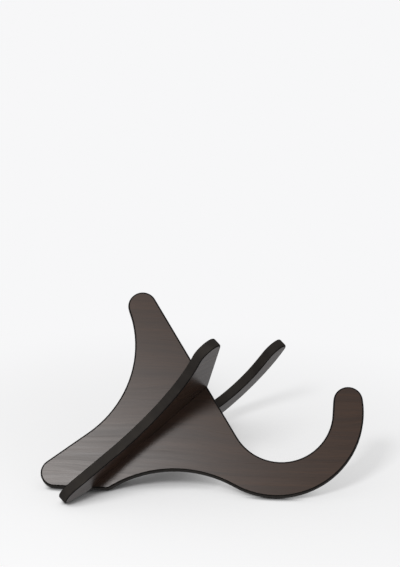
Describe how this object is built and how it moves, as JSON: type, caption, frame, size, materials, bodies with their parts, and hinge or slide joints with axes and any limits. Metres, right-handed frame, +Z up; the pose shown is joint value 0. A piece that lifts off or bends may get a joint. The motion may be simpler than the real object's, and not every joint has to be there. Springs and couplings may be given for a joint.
{
  "type": "ukulele stand",
  "caption": "Knock-down tabletop stand of crossed wooden boards that slot together, with hooks for the rim and raised arms for the back.",
  "frame": {"origin": "floor level under the centre of the bounding box, on the plane that the two boards cross on", "axes": "+Z up, +X towards the hooks at the front, +Y towards the side of board B's hook"},
  "size_m": [0.2672, 0.201, 0.151],
  "materials": {
    "veneer": "satin dark walnut veneer",
    "painted_edge": "matt near-black paint on the panel's edge"
  },
  "bodies": {
    "board_a": {"core_board_a": "painted_edge", "veneer_outer_a": "veneer", "veneer_inner_a": "veneer"},
    "board_b": {"core_board_b": "painted_edge", "veneer_outer_b": "veneer", "veneer_inner_b": "veneer"}
  },
  "joints": [
    {"name": "board_b_slide", "type": "slide", "parent": "board_a", "child": "board_b", "axis": [0.8165, 0, 0.5773], "range_m": [0, 0.07]}
  ]
}
